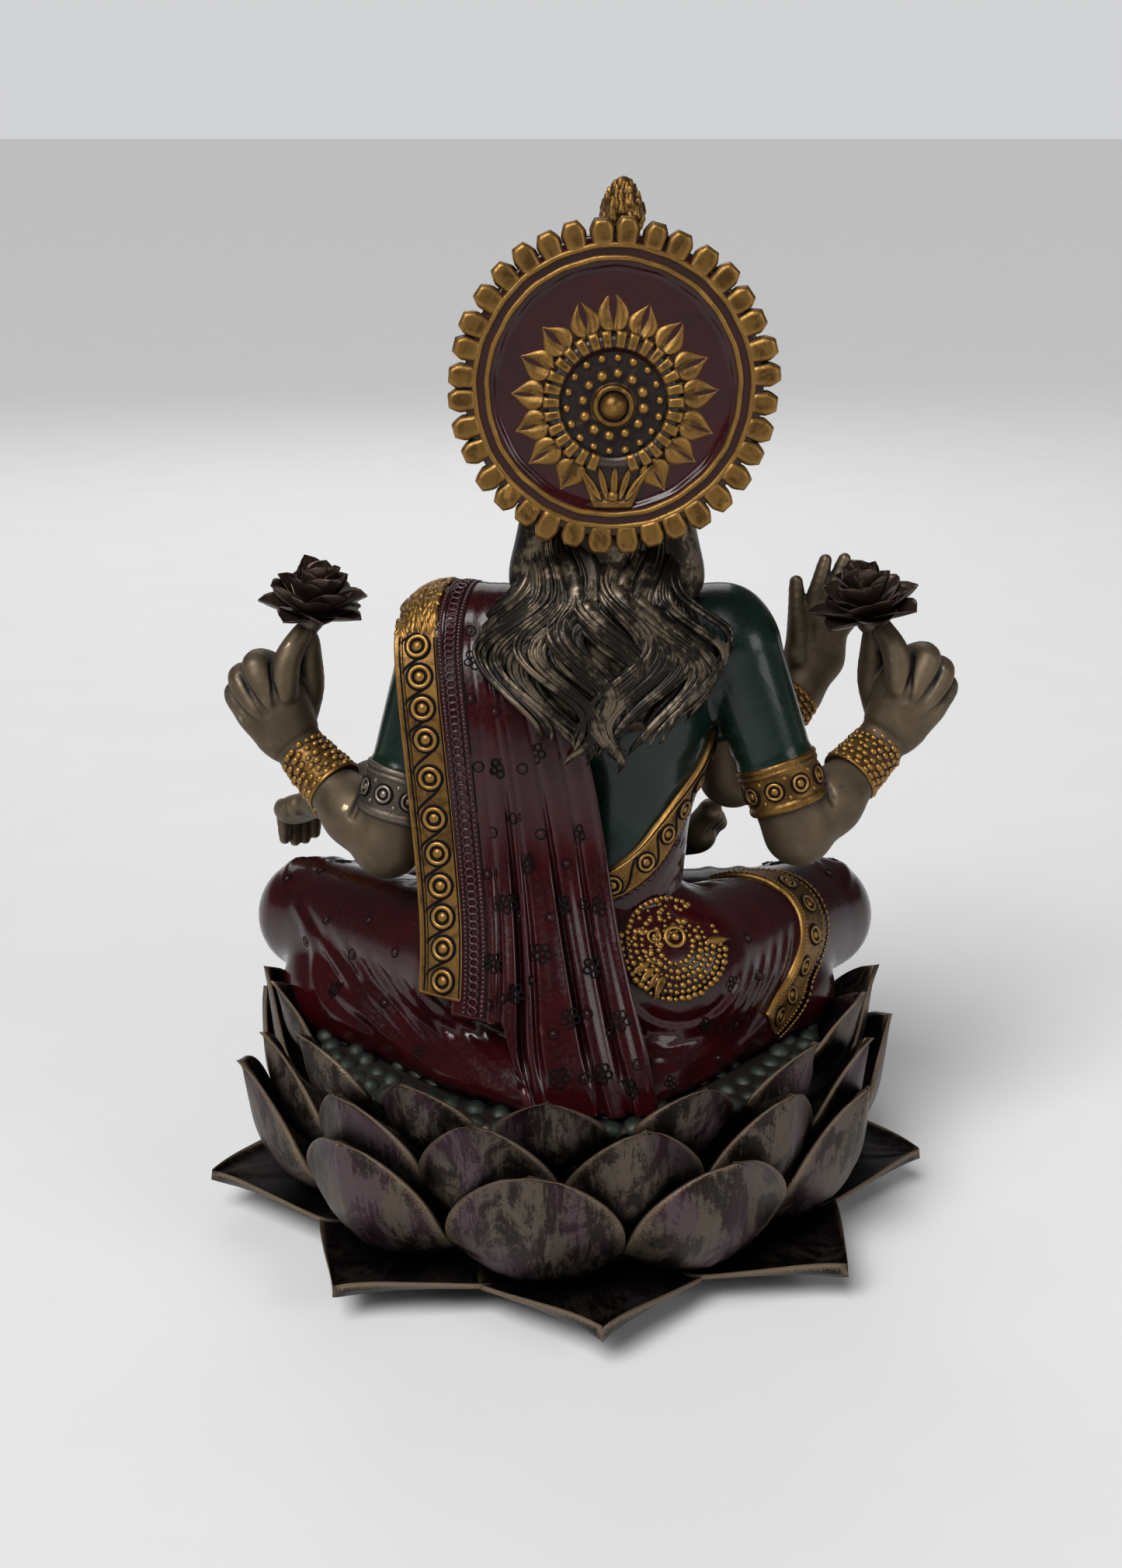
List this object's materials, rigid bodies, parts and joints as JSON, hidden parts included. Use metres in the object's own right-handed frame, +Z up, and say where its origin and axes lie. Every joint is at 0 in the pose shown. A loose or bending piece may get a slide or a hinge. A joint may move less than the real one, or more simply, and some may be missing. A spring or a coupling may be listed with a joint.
{
  "type": "seated deity statuette",
  "caption": "Seated four-armed deity statuette on an open lotus throne, with a scalloped round halo behind the head and a lotus in each rear hand.",
  "frame": {"origin": "middle of the felt pad's underside, on the surface the statuette stands on", "axes": "+Z up along the figure; the figure faces -Y, so the halo's ornate back faces +Y; +X is the figure's left"},
  "size_m": [0.1227, 0.1226, 0.1684],
  "materials": {
    "felt": "short-pile felt",
    "throne_dark": "dark antiqued resin",
    "petal_bronze": "purple-brown resin rubbed back to bronze",
    "seed_green": "green-bronze, satin",
    "burgundy_enamel": "glossy burgundy enamel with a dark wash",
    "green_enamel": "dark green enamel, satin to gloss",
    "gold_paint": "gold paint with a dark wash in the relief",
    "bronze_skin": "antiqued cold-cast bronze",
    "dark_bronze_hair": "dark bronze, ridges rubbed bright",
    "pin_steel": "plain"
  },
  "bodies": {
    "root": {"felt_pad": "felt", "base_plinth": "throne_dark", "outer_petals": "petal_bronze", "lower_petals": "petal_bronze", "middle_petals": "petal_bronze", "inner_petals": "petal_bronze", "seed_pod": "throne_dark", "pod_seeds": "seed_green", "seat_dowel": "pin_steel", "lower_body": "burgundy_enamel", "left_foot": "bronze_skin", "right_foot": "bronze_skin", "torso": "green_enamel", "sari_wrap": "burgundy_enamel", "wrap_border": "gold_paint", "hip_medallion": "gold_paint", "sari_drape": "burgundy_enamel", "drape_border": "gold_paint", "neck_dowel": "pin_steel", "head": "bronze_skin", "hair": "dark_bronze_hair", "crown": "gold_paint", "crown_finial": "gold_paint", "earrings": "gold_paint", "necklace": "gold_paint", "halo_disc": "burgundy_enamel", "halo_scallops": "gold_paint", "halo_rosette": "gold_paint", "halo_boss": "gold_paint", "halo_crest": "gold_paint", "halo_pin": "pin_steel", "rear_left_sleeve": "green_enamel", "rear_left_forearm": "bronze_skin", "rear_left_armband": "gold_paint", "rear_left_bracelet": "gold_paint", "rear_left_hand": "bronze_skin", "rear_left_lotus": "petal_bronze", "rear_right_sleeve": "green_enamel", "rear_right_forearm": "bronze_skin", "rear_right_armband": "gold_paint", "rear_right_bracelet": "gold_paint", "rear_right_hand": "bronze_skin", "rear_right_lotus": "petal_bronze", "front_left_sleeve": "green_enamel", "front_left_forearm": "bronze_skin", "front_left_bracelet": "gold_paint", "front_left_hand": "bronze_skin", "front_right_sleeve": "green_enamel", "front_right_forearm": "bronze_skin", "front_right_bracelet": "gold_paint", "front_right_hand": "bronze_skin", "shoulder_pins": "pin_steel"}
  },
  "joints": []
}
